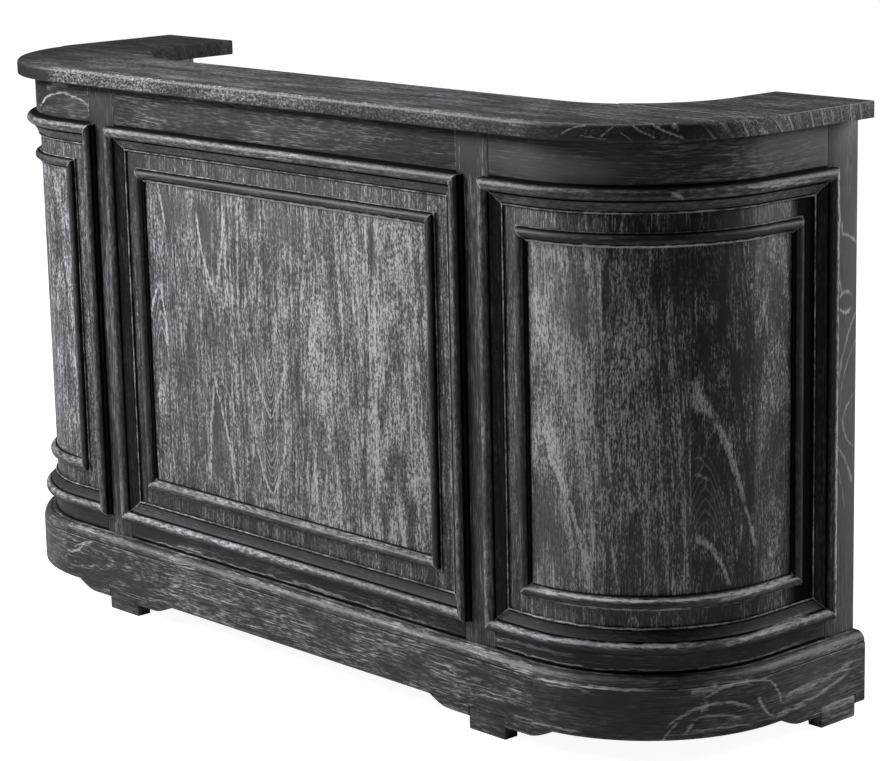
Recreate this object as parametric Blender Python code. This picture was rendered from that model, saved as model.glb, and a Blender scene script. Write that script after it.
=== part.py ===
# Curved-end shop counter: U-shaped top over three framed panel bays, plinth and block feet.
# Metres, +Z up. The front faces -Y, X runs along the counter, the open staff side faces +Y.
# Pieces of the front follow one plan line: straight front, quarter-circle corners, straight sides.
# "s" is the distance along that line from the middle of the front, "n" is outward from its face.
import math

import bmesh
import bpy

# Overall sizes
TOTAL_HEIGHT = 1.048
HALF_FRONT = 0.6345
CORNER_RADIUS = 0.2705
SIDE_RUN = 0.226
ARC_STEPS = 14
GAP = 0.0003
STEP_WIDTH = 0.0008

# Top
TOP_THICKNESS = 0.029
TOP_OVERHANG = 0.033
TOP_BAND_WIDTH = 0.2253
TOP_WING_WIDTH = 0.2094
TOP_INNER_RADIUS = 0.1954
TOP_JOINT_STEP = 0.0242
TOP_ROUNDING = 0.009

# Posts, rails and panels
POST_WIDTH = 0.076
POST_DEPTH = 0.045
RAIL_DEPTH = 0.024
PANEL_SETBACK = 0.006
PANEL_THICKNESS = 0.018

# Framed bays
CENTRE_BAY_WIDTH = 0.968
FRAME_TOP_DROP = 0.1045
FRAME_ABOVE_PLINTH = 0.0338
MOULDING_OVERLAP = 0.014
OUTER_MOULDING_WIDTH = 0.043
BAND_WIDTH = 0.029
INNER_MOULDING_WIDTH = 0.025
BEAD_HEIGHT = 0.019
INNER_BEAD_HEIGHT = 0.0065

# Plinth and feet
PLINTH_TOP = 0.1452
PLINTH_BOTTOM = 0.0387
PLINTH_PROUD = 0.026
PLINTH_OVOLO = 0.017
PLINTH_JOINT_PAST_CORNER = 0.019
BRACKET_LENGTH = 0.100
BRACKET_CURVE = 0.050
BRACKET_DROP = 0.0165
FOOT_WIDTH = 0.088
FOOT_DEPTH = 0.030
FOOT_BEHIND_PLINTH = 0.001
FRONT_FEET_PAST_BAY = 0.025
FRONT_FEET_TO_THE_RIGHT = 0.0365
REAR_FEET_FROM_END = 0.024

# Staff side, not seen in the photograph
SHELF_THICKNESS = 0.018
SHELF_HEIGHT = 0.550
BOTTOM_BOARD_HEIGHT = 0.120
SHELF_SETBACK = 0.030
CLEAT_DEPTH = 0.036
CLEAT_HEIGHT = 0.030
CLEAT_END_SPACE = 0.020

# Worked out from the sizes above
ARC_LENGTH = CORNER_RADIUS * math.pi / 2
HALF_LINE = HALF_FRONT + ARC_LENGTH + SIDE_RUN
FRONT_Y = -(SIDE_RUN + CORNER_RADIUS)
TOP_UNDERSIDE = TOTAL_HEIGHT - TOP_THICKNESS
FRAME_TOP = TOTAL_HEIGHT - FRAME_TOP_DROP
FRAME_BOTTOM = PLINTH_TOP + FRAME_ABOVE_PLINTH
POST_INNER = CENTRE_BAY_WIDTH / 2 - MOULDING_OVERLAP
POST_OUTER = POST_INNER + POST_WIDTH
SIDE_BAY_START = POST_OUTER - MOULDING_OVERLAP
REAR_POST_START = HALF_LINE - POST_WIDTH
TOTAL_DEPTH = SIDE_RUN + CORNER_RADIUS + TOP_OVERHANG
SIDE_BAY_END = REAR_POST_START + MOULDING_OVERLAP
REAR_FOOT_MIDDLE = HALF_LINE - REAR_FEET_FROM_END - FOOT_WIDTH / 2
FRONT_FOOT_OUT = CENTRE_BAY_WIDTH / 2 + FRONT_FEET_PAST_BAY
FOOT_MIDDLES = {
    "front_right": FRONT_FEET_TO_THE_RIGHT + FRONT_FOOT_OUT,
    "front_left": FRONT_FEET_TO_THE_RIGHT - FRONT_FOOT_OUT,
    "rear_right": REAR_FOOT_MIDDLE,
    "rear_left": -REAR_FOOT_MIDDLE,
}

MATERIALS = {
    "stained_wood": (0.035, 0.035, 0.038),
    "stained_wood_inside": (0.045, 0.043, 0.042),
}


def clear_scene():
    for old in list(bpy.data.objects):
        bpy.data.objects.remove(old, do_unlink=True)


def make_material(name, colour):
    material = bpy.data.materials.new(name)
    material.use_nodes = True
    shader = material.node_tree.nodes["Principled BSDF"]
    shader.inputs["Base Color"].default_value = (*colour, 1.0)
    shader.inputs["Roughness"].default_value = 0.6
    return material


def on_line(s, n, z):
    """The point at distance s along the plan line, n outward from the carcass face, z up."""
    side = 1.0 if s >= 0 else -1.0
    along = abs(s)
    if along <= HALF_FRONT:
        return (side * along, FRONT_Y - n, z)
    if along <= HALF_FRONT + ARC_LENGTH:
        turn = (along - HALF_FRONT) / CORNER_RADIUS
        x = HALF_FRONT + (CORNER_RADIUS + n) * math.sin(turn)
        y = -SIDE_RUN - (CORNER_RADIUS + n) * math.cos(turn)
        return (side * x, y, z)
    rest = along - HALF_FRONT - ARC_LENGTH
    return (side * (HALF_FRONT + CORNER_RADIUS + n), -SIDE_RUN + rest, z)


def stations(start, end, keep_clear=0.002):
    """Values of s from start to end, with one at each facet of the quarter circles between them."""
    facets = [HALF_FRONT + ARC_LENGTH * i / ARC_STEPS for i in range(ARC_STEPS + 1)]
    facets += [-f for f in facets]
    inside = [f for f in facets if start + keep_clear < f < end - keep_clear]
    return [start] + sorted(inside) + [end]


def add_object(name, mesh_data, material):
    bmesh.ops.recalc_face_normals(mesh_data, faces=mesh_data.faces)
    mesh = bpy.data.meshes.new(name)
    mesh_data.to_mesh(mesh)
    mesh_data.free()
    obj = bpy.data.objects.new(name, mesh)
    bpy.context.scene.collection.objects.link(obj)
    obj.data.materials.append(material)
    # Modelled with the staff side at Y = 0, then centred in depth.
    obj.location.y = TOTAL_DEPTH / 2
    return obj


def loft(name, sections, material):
    """One closed piece bridged through cross-sections that hold the same number of points."""
    mesh_data = bmesh.new()
    loops = []
    for section in sections:
        corners = [mesh_data.verts.new(point) for point in section]
        pairs = zip(corners, corners[1:] + corners[:1])
        loops.append([mesh_data.edges.new(pair) for pair in pairs])
    for loop, following in zip(loops, loops[1:]):
        bmesh.ops.bridge_loops(mesh_data, edges=loop + following)
    for loop in (loops[0], loops[-1]):
        bmesh.ops.contextual_create(mesh_data, geom=loop)
    return add_object(name, mesh_data, material)


def strip(name, start, end, outer, inner, low, high, material):
    """A board that follows the plan line, from n = inner to n = outer and from z = low to high."""
    corners = [(outer, low), (outer, high), (inner, high), (inner, low)]
    sections = [[on_line(s, n, z) for n, z in corners] for s in stations(start, end)]
    return loft(name, sections, material)


def block(name, start, end, outer, inner, low, high, material, edge=0.0015):
    """A short board or block with softened long edges."""
    obj = strip(name, start, end, outer, inner, low, high, material)
    bevel = obj.modifiers.new("soft_edges", "BEVEL")
    bevel.width = edge
    bevel.segments = 1
    bevel.limit_method = "ANGLE"
    bevel.angle_limit = math.radians(50)
    return obj


def moulding_side(name, side, frame, profile, material):
    """One mitred side of a moulding frame. The profile holds (inward from the frame's edge, n)."""
    left, right, low, high = frame
    sections = []
    if side in ("left", "right"):
        for end in ("low", "high"):
            section = []
            for inward, n in profile:
                s = left + inward if side == "left" else right - inward
                z = low + inward + GAP if end == "low" else high - inward - GAP
                section.append(on_line(s, n, z))
            sections.append(section)
        return loft(name, sections, material)
    widest = max(inward for inward, n in profile) + 0.004
    for s in stations(left, right, keep_clear=widest):
        section = []
        for inward, n in profile:
            z = low + inward if side == "bottom" else high - inward
            reach = s
            if s == left:
                reach = left + inward + GAP
            if s == right:
                reach = right - inward - GAP
            section.append(on_line(reach, n, z))
        sections.append(section)
    return loft(name, sections, material)


def outer_profile():
    bead, seat, step = BEAD_HEIGHT, GAP, MOULDING_OVERLAP + 0.0007
    low_seat = GAP - PANEL_SETBACK
    width = OUTER_MOULDING_WIDTH
    bead_shape = [(0.0, 0.53), (0.0013, 0.77), (0.0045, 0.942), (0.009, 1.0), (0.014, 0.953)]
    bead_shape += [(0.018, 0.80), (0.0205, 0.58), (0.0205, 0.46), (0.0235, 0.42), (0.0275, 0.26)]
    points = [(0.0, seat)] + [(inward, bead * part) for inward, part in bead_shape]
    points += [(width * 0.75, 0.0012), (width * 0.87, -0.0012), (width * 0.965, -0.0020)]
    points += [(width, -0.0020), (width, low_seat), (step, low_seat), (step, seat)]
    return points


def inner_profile():
    start = OUTER_MOULDING_WIDTH + BAND_WIDTH
    seat = GAP - PANEL_SETBACK
    bead = INNER_BEAD_HEIGHT
    shape = [(0.0, seat), (0.0, -0.0025), (0.10, -0.0025), (0.14, bead * 0.3), (0.26, bead * 0.8)]
    shape += [(0.42, bead), (0.58, bead * 0.9), (0.71, bead * 0.46), (0.76, -0.0005)]
    shape += [(0.90, -0.0020), (1.0, -0.0038), (1.0, seat)]
    return [(start + part * INNER_MOULDING_WIDTH, n) for part, n in shape]


def bracket_drop(s):
    """How far the plinth's lower edge drops at s, in the quarter-curved brackets beside the feet."""
    for middle in FOOT_MIDDLES.values():
        from_foot = abs(s - middle) - FOOT_WIDTH / 2
        if GAP + STEP_WIDTH * 0.9 <= from_foot <= BRACKET_LENGTH:
            part = min((BRACKET_LENGTH - from_foot) / BRACKET_CURVE, 1.0)
            return BRACKET_DROP * math.sin(part * math.pi / 2)
    return 0.0


def bracket_stations(start, end):
    """The stations of a plinth board, with more where its lower edge curves or steps."""
    curve = [BRACKET_LENGTH - BRACKET_CURVE * part for part in (0.0, 0.2, 0.45, 0.75, 1.0)]
    found = stations(start, end)
    for middle in FOOT_MIDDLES.values():
        for away in curve + [GAP, GAP + STEP_WIDTH]:
            reach = FOOT_WIDTH / 2 + away
            found += [middle - reach, middle + reach]
    ordered = sorted(s for s in found if start <= s <= end)
    kept = [s for s, after in zip(ordered, ordered[1:]) if after - s > STEP_WIDTH / 2]
    return kept + [end]


def plinth_board(name, start, end, material):
    top, proud, radius = PLINTH_TOP, PLINTH_PROUD, PLINTH_OVOLO
    shape = [(GAP, top)]
    for i in range(6):
        turn = math.pi / 2 * i / 5
        out = proud - 0.0012 - radius * (1 - math.sin(turn))
        shape.append((out, top - radius * (1 - math.cos(turn))))
    shape += [(proud - 0.0012, top - radius - 0.0022), (proud, top - radius - 0.0026)]
    sections = []
    for s in bracket_stations(start, end):
        low = PLINTH_BOTTOM - bracket_drop(s)
        section = [on_line(s, n, z) for n, z in shape]
        section += [on_line(s, proud, low + 0.005), on_line(s, proud - 0.0015, low + 0.0015)]
        section += [on_line(s, proud - 0.005, low), on_line(s, GAP, low)]
        sections.append(section)
    return loft(name, sections, material)


def board_from_outline(name, outline, low, high, material, rounding=0.0):
    """A flat board from (x, y, is the edge after this point shaped?), with its shaped edges rounded."""
    mesh_data = bmesh.new()
    corners = [mesh_data.verts.new((x, y, low)) for x, y, shaped in outline]
    face = mesh_data.faces.new(corners)
    shaped_sides = [edge for edge, point in zip(face.edges, outline) if point[2]]
    middles = [(edge.verts[0].co + edge.verts[1].co) / 2 for edge in shaped_sides]
    grown = bmesh.ops.extrude_face_region(mesh_data, geom=[face])["geom"]
    raised = [item for item in grown if isinstance(item, bmesh.types.BMVert)]
    bmesh.ops.translate(mesh_data, verts=raised, vec=(0.0, 0.0, high - low))
    if rounding:
        above = {(round(m.x, 5), round(m.y, 5)) for m in middles}
        edges = []
        for edge in mesh_data.edges:
            middle = (edge.verts[0].co + edge.verts[1].co) / 2
            on_top = min(vert.co.z for vert in edge.verts) > high - 1e-5
            if on_top and (round(middle.x, 5), round(middle.y, 5)) in above:
                edges.append(edge)
        bmesh.ops.bevel(
            mesh_data, geom=edges, offset=rounding, segments=3, profile=0.5, affect="EDGES"
        )
    return add_object(name, mesh_data, material)


def arc_points(cx, cy, radius, first, last, steps):
    angles = [first + (last - first) * i / steps for i in range(steps + 1)]
    return [(cx + radius * math.cos(a), cy + radius * math.sin(a)) for a in angles]


def build_top(material):
    outer = CORNER_RADIUS + TOP_OVERHANG
    side_x = HALF_FRONT + outer
    front_y = FRONT_Y - TOP_OVERHANG
    inner_y = front_y + TOP_BAND_WIDTH
    wing_x = side_x - TOP_WING_WIDTH
    inner_cx = wing_x - TOP_INNER_RADIUS
    inner_cy = inner_y + TOP_INNER_RADIUS
    joint_y = inner_y + TOP_JOINT_STEP
    outer_joint = math.asin(min(max((joint_y + SIDE_RUN) / outer, -1.0), 0.0))
    inner_joint = math.asin((joint_y - inner_cy) / TOP_INNER_RADIUS)
    down = -math.pi / 2
    right_outer = arc_points(HALF_FRONT, -SIDE_RUN, outer, down, outer_joint, ARC_STEPS)
    right_inner = arc_points(inner_cx, inner_cy, TOP_INNER_RADIUS, inner_joint, down, 6)
    mark = [True] * (len(right_outer) - 1) + [False] + [True] * len(right_inner)
    half = [(x, y, shaped) for (x, y), shaped in zip(right_outer + right_inner, mark)]
    mirrored = [(-x, y) for x, y, shaped in reversed(half)]
    marks = [shaped for x, y, shaped in reversed(half)][1:] + [True]
    outline = half + [(x, y, shaped) for (x, y), shaped in zip(mirrored, marks)]
    low, high = TOP_UNDERSIDE + GAP, TOTAL_HEIGHT
    board_from_outline("top_front", outline, low, high, material, TOP_ROUNDING)
    wing_outer = arc_points(HALF_FRONT, -SIDE_RUN, outer, outer_joint, 0.0, 3)
    wing_inner = arc_points(inner_cx, inner_cy, TOP_INNER_RADIUS, 0.0, inner_joint, 8)
    corners = wing_outer + [(side_x, 0.0), (wing_x, 0.0)] + wing_inner
    outline = [(x, y, True) for x, y in corners]
    outline[0] = (corners[0][0], corners[0][1] + GAP, True)
    outline[-1] = (corners[-1][0], corners[-1][1] + GAP, False)
    for name, side in (("top_right", 1.0), ("top_left", -1.0)):
        turned = [(side * x, y, shaped) for x, y, shaped in outline]
        board_from_outline(name, turned, low, high, material, TOP_ROUNDING)


def shelf_outline():
    inset = POST_DEPTH + GAP
    half = [on_line(s, -inset, 0.0)[:2] for s in stations(0.0, HALF_LINE)[1:-1]]
    half.append((HALF_FRONT + CORNER_RADIUS - inset, -SHELF_SETBACK))
    mirrored = [(-x, y) for x, y in reversed(half)]
    return [(x, y, False) for x, y in half + mirrored]


def build_bays(wood):
    bays = {
        "centre": (-CENTRE_BAY_WIDTH / 2, CENTRE_BAY_WIDTH / 2, -POST_INNER, POST_INNER),
        "right": (SIDE_BAY_START, SIDE_BAY_END, POST_OUTER, REAR_POST_START),
        "left": (-SIDE_BAY_END, -SIDE_BAY_START, -REAR_POST_START, -POST_OUTER),
    }
    rail_low = FRAME_BOTTOM + MOULDING_OVERLAP
    rail_high = FRAME_TOP - MOULDING_OVERLAP
    board_back = -PANEL_SETBACK - PANEL_THICKNESS
    for bay, (frame_left, frame_right, post_left, post_right) in bays.items():
        start, end = post_left + GAP, post_right - GAP
        strip(f"frieze_rail_{bay}", start, end, 0.0, -RAIL_DEPTH, rail_high, TOP_UNDERSIDE, wood)
        strip(f"lower_rail_{bay}", start, end, 0.0, -RAIL_DEPTH, PLINTH_BOTTOM, rail_low, wood)
        low, high = rail_low + GAP, rail_high - GAP
        strip(f"panel_{bay}", start, end, -PANEL_SETBACK, board_back, low, high, wood)
        frame = (frame_left, frame_right, FRAME_BOTTOM, FRAME_TOP)
        for side in ("top", "bottom", "left", "right"):
            moulding_side(f"outer_moulding_{bay}_{side}", side, frame, outer_profile(), wood)
            moulding_side(f"inner_moulding_{bay}_{side}", side, frame, inner_profile(), wood)


def build_posts_and_feet(wood):
    places = {
        "post_front_right": (POST_INNER, POST_OUTER),
        "post_front_left": (-POST_OUTER, -POST_INNER),
        "post_rear_right": (REAR_POST_START, HALF_LINE),
        "post_rear_left": (-HALF_LINE, -REAR_POST_START),
    }
    for name, (start, end) in places.items():
        strip(name, start, end, 0.0, -POST_DEPTH, PLINTH_BOTTOM, TOP_UNDERSIDE, wood)
    foot_top = PLINTH_BOTTOM - GAP
    face = PLINTH_PROUD - FOOT_BEHIND_PLINTH
    for place, middle in FOOT_MIDDLES.items():
        start, end = middle - FOOT_WIDTH / 2, middle + FOOT_WIDTH / 2
        block(f"foot_{place}", start, end, face, face - FOOT_DEPTH, 0.0, foot_top, wood)


def build_plinth(wood):
    joint = HALF_FRONT + PLINTH_JOINT_PAST_CORNER
    plinth_board("plinth_front", -joint, joint, wood)
    plinth_board("plinth_right", joint + GAP, HALF_LINE, wood)
    plinth_board("plinth_left", -HALF_LINE, -joint - GAP, wood)


def build_staff_side(inside):
    back = -RAIL_DEPTH - GAP
    deep = back - CLEAT_DEPTH
    spans = {
        "centre": (-POST_INNER + CLEAT_END_SPACE, POST_INNER - CLEAT_END_SPACE),
        "right": (POST_OUTER + CLEAT_END_SPACE, REAR_POST_START - CLEAT_END_SPACE),
        "left": (-REAR_POST_START + CLEAT_END_SPACE, -POST_OUTER - CLEAT_END_SPACE),
    }
    for bay, (start, end) in spans.items():
        high = SHELF_HEIGHT - GAP
        strip(f"shelf_cleat_{bay}", start, end, back, deep, high - CLEAT_HEIGHT, high, inside)
        high = BOTTOM_BOARD_HEIGHT - GAP
        strip(f"bottom_cleat_{bay}", start, end, back, deep, high - CLEAT_HEIGHT, high, inside)
        high = TOP_UNDERSIDE
        strip(f"top_cleat_{bay}", start, end, back, deep, high - CLEAT_HEIGHT, high, inside)
    for name, low in (("shelf", SHELF_HEIGHT), ("bottom_board", BOTTOM_BOARD_HEIGHT)):
        board_from_outline(name, shelf_outline(), low, low + SHELF_THICKNESS, inside)


def main():
    clear_scene()
    wood = make_material("stained_wood", MATERIALS["stained_wood"])
    inside = make_material("stained_wood_inside", MATERIALS["stained_wood_inside"])
    build_top(wood)
    build_bays(wood)
    build_posts_and_feet(wood)
    build_plinth(wood)
    build_staff_side(inside)


main()
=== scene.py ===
"""Shop counter with curved ends, in solid ash stained black and limed white in the grain."""
import math
import random
from functools import partial

import bpy
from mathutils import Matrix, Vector


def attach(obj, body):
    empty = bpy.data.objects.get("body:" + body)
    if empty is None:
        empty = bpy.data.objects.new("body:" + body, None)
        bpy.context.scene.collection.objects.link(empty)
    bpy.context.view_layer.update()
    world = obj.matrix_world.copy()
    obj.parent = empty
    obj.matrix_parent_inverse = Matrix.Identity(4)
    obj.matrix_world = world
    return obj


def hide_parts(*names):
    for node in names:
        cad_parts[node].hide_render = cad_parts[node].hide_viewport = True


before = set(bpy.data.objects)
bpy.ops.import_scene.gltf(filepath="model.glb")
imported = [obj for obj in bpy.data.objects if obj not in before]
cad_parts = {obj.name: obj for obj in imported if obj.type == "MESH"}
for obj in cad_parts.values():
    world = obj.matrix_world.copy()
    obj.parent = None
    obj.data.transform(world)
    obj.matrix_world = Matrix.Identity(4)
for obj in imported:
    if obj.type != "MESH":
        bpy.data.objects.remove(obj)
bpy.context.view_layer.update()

# Sizes in metres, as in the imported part. "s" runs along the front and round the corners from the
# middle of the front, "out" is outward from the faces of the posts and rails, z is up.
HEIGHT = 1.048
HALF_FRONT = 0.6345
CORNER_RADIUS = 0.2705
SIDE_RUN = 0.226
TOP_THICKNESS = 0.029
TOP_OVERHANG = 0.033
TOP_BAND_WIDTH = 0.2253
TOP_WING_WIDTH = 0.2094
TOP_INNER_RADIUS = 0.1954
TOP_JOINT_STEP = 0.0242
TOP_WHITE_EDGE_END = 0.56
POST_WIDTH = 0.076
POST_DEPTH = 0.045
RAIL_DEPTH = 0.024
PANEL_SETBACK = 0.006
PANEL_THICKNESS = 0.018
CENTRE_BAY_WIDTH = 0.968
FRAME_TOP = 0.9435
FRAME_BOTTOM = 0.179
MOULDING_OVERLAP = 0.014
OUTER_MOULDING_WIDTH = 0.043
INNER_MOULDING_START = 0.072
INNER_MOULDING_WIDTH = 0.025
PLINTH_TOP = 0.1452
PLINTH_BOTTOM = 0.0387
PLINTH_PROUD = 0.026
PLINTH_OVOLO = 0.017
PLINTH_JOINT = HALF_FRONT + 0.019
BRACKET_LENGTH = 0.100
BRACKET_CURVE = 0.050
BRACKET_DROP = 0.0165
FRONT_FEET_TO_THE_RIGHT = 0.0365
FRONT_FOOT_FROM_MIDDLE = 0.509
REAR_FOOT_FROM_END = 0.068
FOOT_WIDTH = 0.088
FOOT_DEPTH = 0.030
JOINT = 0.0003

DEPTH = SIDE_RUN + CORNER_RADIUS + TOP_OVERHANG
REAR_Y = DEPTH / 2
FRONT_Y = REAR_Y - SIDE_RUN - CORNER_RADIUS
ARC = CORNER_RADIUS * math.pi / 2
HALF_LINE = HALF_FRONT + ARC + SIDE_RUN
POST_INNER = CENTRE_BAY_WIDTH / 2 - MOULDING_OVERLAP
POST_OUTER = POST_INNER + POST_WIDTH
REAR_POST = HALF_LINE - POST_WIDTH
FEET = {
    "foot_front_right": FRONT_FEET_TO_THE_RIGHT + FRONT_FOOT_FROM_MIDDLE,
    "foot_front_left": FRONT_FEET_TO_THE_RIGHT - FRONT_FOOT_FROM_MIDDLE,
    "foot_rear_right": HALF_LINE - REAR_FOOT_FROM_END,
    "foot_rear_left": REAR_FOOT_FROM_END - HALF_LINE,
}
# Each bay's moulded frame from left to right, and then the opening between its posts.
BAYS = {
    "centre": (-CENTRE_BAY_WIDTH / 2, CENTRE_BAY_WIDTH / 2, -POST_INNER, POST_INNER),
    "right": (POST_OUTER - MOULDING_OVERLAP, REAR_POST + MOULDING_OVERLAP, POST_OUTER, REAR_POST),
    "left": (-REAR_POST - MOULDING_OVERLAP, MOULDING_OVERLAP - POST_OUTER, -REAR_POST, -POST_OUTER),
}


# Modelling

def take_up(piece):
    bpy.ops.object.select_all(action="DESELECT")
    piece.select_set(True)
    bpy.context.view_layer.objects.active = piece


def edit(piece, choose=None):
    """Opens one piece for editing, all of it selected or only the points that choose() picks."""
    take_up(piece)
    bpy.ops.object.mode_set(mode="EDIT")
    bpy.ops.mesh.select_mode(type="VERT")
    bpy.ops.mesh.select_all(action="SELECT" if choose is None else "DESELECT")
    if choose is None:
        return
    bpy.ops.object.mode_set(mode="OBJECT")
    for vertex in piece.data.vertices:
        vertex.select = choose(vertex.co)
    bpy.ops.object.mode_set(mode="EDIT")


def close(piece):
    bpy.ops.object.mode_set(mode="OBJECT")
    return piece


def finish_with(piece, kind, **settings):
    """Adds one modifier with its settings and applies it."""
    take_up(piece)
    modifier = piece.modifiers.new(kind.lower(), kind)
    for name, value in settings.items():
        setattr(modifier, name, value)
    bpy.ops.object.modifier_apply(modifier=modifier.name)


def saw_across(piece, places, axis=0):
    """Cuts loops across a piece, as many as a bend or a fine profile needs."""
    edit(piece)
    direction = tuple(1.0 if i == axis else 0.0 for i in range(3))
    for place in places:
        at = tuple(place if i == axis else 0.0 for i in range(3))
        bpy.ops.mesh.select_all(action="SELECT")
        bpy.ops.mesh.bisect(plane_co=at, plane_no=direction)
    close(piece)


def evenly(start, end, step):
    count = max(1, round((end - start) / step))
    return [start + (end - start) * i / count for i in range(1, count)]


def add_board(name, start, end, back, face, low, high, soft=0.0012):
    """A planed board, still straight, with its arrises taken off by soft."""
    middle = ((start + end) / 2, FRONT_Y - (back + face) / 2, (low + high) / 2)
    bpy.ops.object.select_all(action="DESELECT")
    bpy.ops.mesh.primitive_cube_add(
        size=1, location=middle, scale=(end - start, face - back, high - low)
    )
    piece = bpy.context.object
    piece.name = name
    bpy.ops.object.transform_apply(location=True, rotation=True, scale=True)
    finish_with(piece, "BEVEL", width=soft, segments=2, limit_method="NONE")
    return piece


def trace(name, spots):
    """A piece that is one line so far, drawn on from point to point."""
    bpy.ops.object.select_all(action="DESELECT")
    bpy.ops.mesh.primitive_plane_add(size=0.001, location=spots[0])
    piece = bpy.context.object
    piece.name = name
    bpy.ops.object.transform_apply(location=True, rotation=True, scale=True)
    edit(piece)
    bpy.ops.mesh.merge(type="CENTER")
    for spot, after in zip(spots, spots[1:]):
        step = Vector(after) - Vector(spot)
        bpy.ops.mesh.extrude_vertices_move(TRANSFORM_OT_translate={"value": step})
    return close(piece)


def draw_out(piece, way):
    """Fills the traced line and draws it out into a solid."""
    edit(piece)
    bpy.ops.mesh.edge_face_add()
    bpy.ops.mesh.extrude_region_move(TRANSFORM_OT_translate={"value": way})
    bpy.ops.mesh.select_all(action="SELECT")
    bpy.ops.mesh.normals_make_consistent(inside=False)
    return close(piece)


def run_profile(name, profile, upright, place, start, end):
    """A moulding run off straight from start to end. The profile holds (across, out, lime), and
    place() turns across into s or z."""
    spots = []
    for across, out, lime in profile:
        if upright:
            spots.append((place(across), FRONT_Y - out, start))
        else:
            spots.append((start, FRONT_Y - out, place(across)))
    piece = trace(name, spots)
    # Each point's lime: below 0 painted shade in quirks and corners, on the right end's bead a
    # painted highlight.
    rubbed = piece.data.attributes.new("lime", "FLOAT", "POINT")
    for value, point in zip(rubbed.data, profile):
        value.value = point[2]
    return draw_out(piece, (0, 0, end - start) if upright else (end - start, 0, 0))


def mitre(piece, corner, towards):
    """Saws one end off at 45 degrees through the corner (s, z), keeping the side it points to."""
    edit(piece)
    inset = Vector(towards).normalized() * JOINT / 2
    bpy.ops.mesh.bisect(
        plane_co=(corner[0] + inset.x, 0, corner[1] + inset.z),
        plane_no=towards,
        use_fill=True,
        clear_inner=True,
    )
    close(piece)


def wrap_round_corners(piece):
    """Bends a straight piece along the counter's plan line, as laminated pieces are bent."""
    for vertex in piece.data.vertices:
        vertex.co.x += HALF_LINE
        vertex.co.y -= FRONT_Y
    finish_with(piece, "CURVE", object=plan_line, deform_axis="POS_X")


def draw_plan_line():
    """The line that every piece of the front follows, from the left rear to the right rear."""
    corners = [(-HALF_FRONT - CORNER_RADIUS, REAR_Y)]
    steps = 90
    for i in range(steps + 1):
        turn = math.pi / 2 * i / steps
        x = -HALF_FRONT - CORNER_RADIUS * math.cos(turn)
        corners.append((x, FRONT_Y + CORNER_RADIUS * (1 - math.sin(turn))))
    corners += [(-x, y) for x, y in reversed(corners)]
    data = bpy.data.curves.new("plan_line", "CURVE")
    data.dimensions = "3D"
    data.twist_mode = "Z_UP"
    data.use_deform_bounds = False
    spline = data.splines.new("POLY")
    spline.points.add(len(corners) - 1)
    for point, (x, y) in zip(spline.points, corners):
        point.co = (x, y, 0, 1)
    line = bpy.data.objects.new("plan_line", data)
    bpy.context.scene.collection.objects.link(line)
    return line


plan_line = draw_plan_line()
# The start of the board where a piece is sawn from one alone, before any place on the counter.
ONE_BOARD = -9


def lay_grain(piece, upright, boards, slab=False):
    """Notes where each face lies in the tree that its board came from, while the piece is straight.
    boards holds (start, heart across, heart depth, lean, haze, flecks) in order of start: where the
    tree's heart lies beside and behind the face, how far it leans per metre, and how much haze and
    how many flecks of lime the board has."""
    data = piece.data
    place = data.attributes.new("place", "FLOAT_VECTOR", "POINT")
    for spot, vertex in zip(place.data, data.vertices):
        spot.vector = (vertex.co.x, FRONT_Y - vertex.co.y, vertex.co.z)
    grain = data.attributes.new("grain", "FLOAT_VECTOR", "CORNER")
    finish = data.attributes.new("finish", "FLOAT_VECTOR", "CORNER")
    if "lime" not in data.attributes:
        data.attributes.new("lime", "FLOAT", "POINT")
    chance = random.Random(piece.name)
    shifts = [chance.uniform(-9, 9) for board in boards]
    for face in data.polygons:
        across = face.center.x if upright else face.center.z
        if slab:
            across = -face.center.y
        number = max([i for i, board in enumerate(boards) if board[0] <= across + 1e-5], default=0)
        start, heart, depth, lean, haze, flecks = boards[number]
        if slab and face.normal.z < 0.7:
            # Painted light and shade: the sides and the back get twice the haze, standing in
            # for the light from the right, and the faces towards the front, lit by the left soft
            # box, are left nearly bare, where whiten_edge() works.
            front = min(2.0, max(0.05, 2.0 + (face.normal.y + 0.12) * 4.5))
            haze *= front if face.normal.y < 0 else 2.0
        for corner in face.loop_indices:
            spot = data.vertices[data.loops[corner].vertex_index].co
            along, over = (spot.z, spot.x) if upright else (spot.x, spot.z)
            out = FRONT_Y - spot.y
            if slab:
                over, out = -spot.y, spot.z - HEIGHT
            inwards = depth - out + lean * along
            grain.data[corner].vector = (along + shifts[number], over - heart, inwards)
            finish.data[corner].vector = (haze, flecks, shifts[number])


def blacken_as_painted_shade(piece, share_at):
    """Takes lime away, as in corners no brush can reach, and darkens the stain by share_at() as
    painted shade.
    """
    for value, vertex in zip(piece.data.attributes["lime"].data, piece.data.vertices):
        share = share_at(vertex.co)
        if share:
            value.value = -share


def settle(piece, node, material, bent=False):
    """Bends the piece if it is bent, gives it its wood, and puts it in place of its CAD node."""
    if bent:
        wrap_round_corners(piece)
    take_up(piece)
    bpy.ops.object.shade_smooth_by_angle(angle=math.radians(35))
    piece.data.materials.clear()
    piece.data.materials.append(material)
    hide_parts(node)
    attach(piece, "root")


# Materials

def hex_colour(code):
    """An sRGB hex colour as the linear colour that a shader takes."""
    parts = [int(code[i:i + 2], 16) / 255 for i in (1, 3, 5)]
    linear = [p / 12.92 if p <= 0.04045 else ((p + 0.055) / 1.055) ** 2.4 for p in parts]
    return (*linear, 1.0)


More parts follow.
